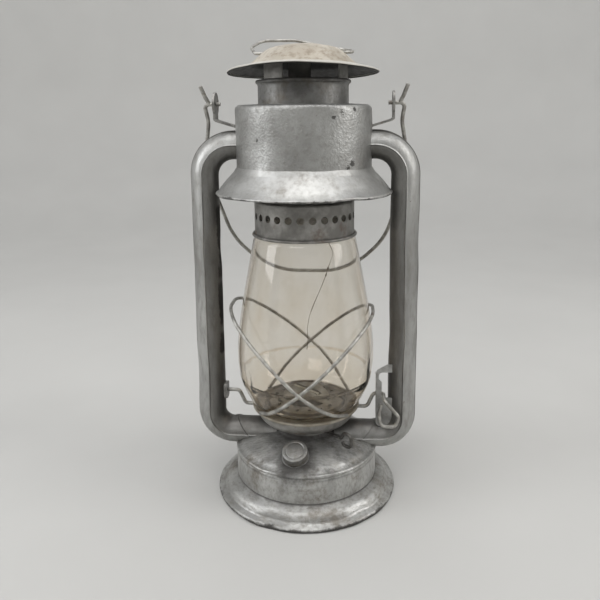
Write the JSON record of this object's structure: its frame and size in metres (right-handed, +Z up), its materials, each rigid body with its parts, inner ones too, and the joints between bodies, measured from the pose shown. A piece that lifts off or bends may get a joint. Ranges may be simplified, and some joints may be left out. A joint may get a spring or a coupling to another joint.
{
  "type": "barn lantern",
  "caption": "Tubular kerosene barn lantern with side air tubes, lifting glass globe, crossed guard wires, sliding hooded flue and a wire bail.",
  "frame": {"origin": "centre of the fount's skirt, in the plane of its rolled rim, which is the surface that it stands on", "axes": "+Z up along the flue; the front, with the filler cap, faces -Y; the lift lever's finger loop is at +X"},
  "size_m": [0.176, 0.1434, 0.3571],
  "materials": {
    "silver_paint": "aged silver paint, stained and slightly rough",
    "guard_wire": "dull galvanised wire",
    "sooty_tin": "smoky grey tinplate",
    "dark_steel": "dark worn steel",
    "heated_hood": "heat-stained silver paint",
    "old_brass": "tarnished",
    "globe_glass": "clear with a faint amber tint and a crack",
    "wick_cotton": "woven flat wick",
    "gasket": "cork-like disc"
  },
  "bodies": {
    "frame": {"base_skirt": "silver_paint", "fount_wall": "silver_paint", "fount_bottom": "sooty_tin", "fount_top": "silver_paint", "duct_left": "silver_paint", "duct_right": "silver_paint", "side_tube_left": "silver_paint", "side_tube_right": "silver_paint", "burner_gallery": "sooty_tin", "burner_plate": "sooty_tin", "wick_tube": "old_brass", "burner_cone": "old_brass", "burner_stem": "old_brass", "filler_neck": "silver_paint", "lift_bracket_left": "dark_steel", "lift_bracket_right": "silver_paint", "air_chamber": "silver_paint", "chamber_floor": "sooty_tin", "bell": "silver_paint", "bail_ear_left": "dark_steel", "bail_ear_right": "dark_steel"},
    "globe_carrier": {"globe_plate": "sooty_tin", "globe": "globe_glass", "guard_hoop_right": "guard_wire", "guard_hoop_left": "guard_wire"},
    "crown": {"collar": "sooty_tin", "flue": "sooty_tin", "hood_posts": "sooty_tin", "hood": "heated_hood"},
    "lift_ring": {"lift_ring": "guard_wire"},
    "lift_lever": {"lift_lever": "guard_wire"},
    "bail": {"bail": "dark_steel"},
    "wick": {"wick": "wick_cotton"},
    "wick_spindle": {"wick_spindle": "dark_steel", "wick_wheel": "old_brass"},
    "gasket": {"cap_gasket": "gasket"},
    "filler_cap": {"filler_cap": "silver_paint"}
  },
  "joints": [
    {"name": "globe_lift", "type": "slide", "parent": "frame", "child": "globe_carrier", "axis": [0, 0, 1], "range_m": [0, 0.019]},
    {"name": "lever_turn", "type": "hinge", "parent": "frame", "child": "lift_lever", "pos_m": [0, 0, 0.0775], "axis": [1, 0, 0], "range_deg": [-30.5, 0]},
    {"name": "crown_lift", "type": "slide", "parent": "globe_carrier", "child": "crown", "axis": [0, 0, 1], "range_m": [0, 0.012]},
    {"name": "ring_swing", "type": "hinge", "parent": "crown", "child": "lift_ring", "pos_m": [0, 0, 0.3436], "axis": [1, 0, 0], "range_deg": [0, 140]},
    {"name": "bail_swing", "type": "hinge", "parent": "frame", "child": "bail", "pos_m": [0, 0, 0.307], "axis": [1, 0, 0], "range_deg": [0, 319]},
    {"name": "spindle_turn", "type": "hinge", "parent": "frame", "child": "wick_spindle", "pos_m": [-0.00304, -0.00403, 0.0526], "axis": [0.7986, -0.6018, 0], "range_deg": [-145, 145]},
    {"name": "wick_feed", "type": "slide", "parent": "frame", "child": "wick", "axis": [0, 0, 1], "range_m": [-0.0087, 0.0087]},
    {"name": "gasket_rise", "type": "slide", "parent": "frame", "child": "gasket", "axis": [-0.0534, -0.4351, 0.8988], "range_m": [0, 0.00605]},
    {"name": "cap_turn", "type": "hinge", "parent": "gasket", "child": "filler_cap", "pos_m": [-0.00506, -0.04119, 0.0432], "axis": [-0.0534, -0.4351, 0.8988], "range_deg": [0, 1080]}
  ],
  "couplings": [
    {"joint": "lever_turn", "follows": "globe_lift", "rad_per_m": -27.5},
    {"joint": "spindle_turn", "follows": "wick_feed", "rad_per_m": 290},
    {"joint": "gasket_rise", "follows": "cap_turn", "m_per_rad": 0.00031831}
  ]
}
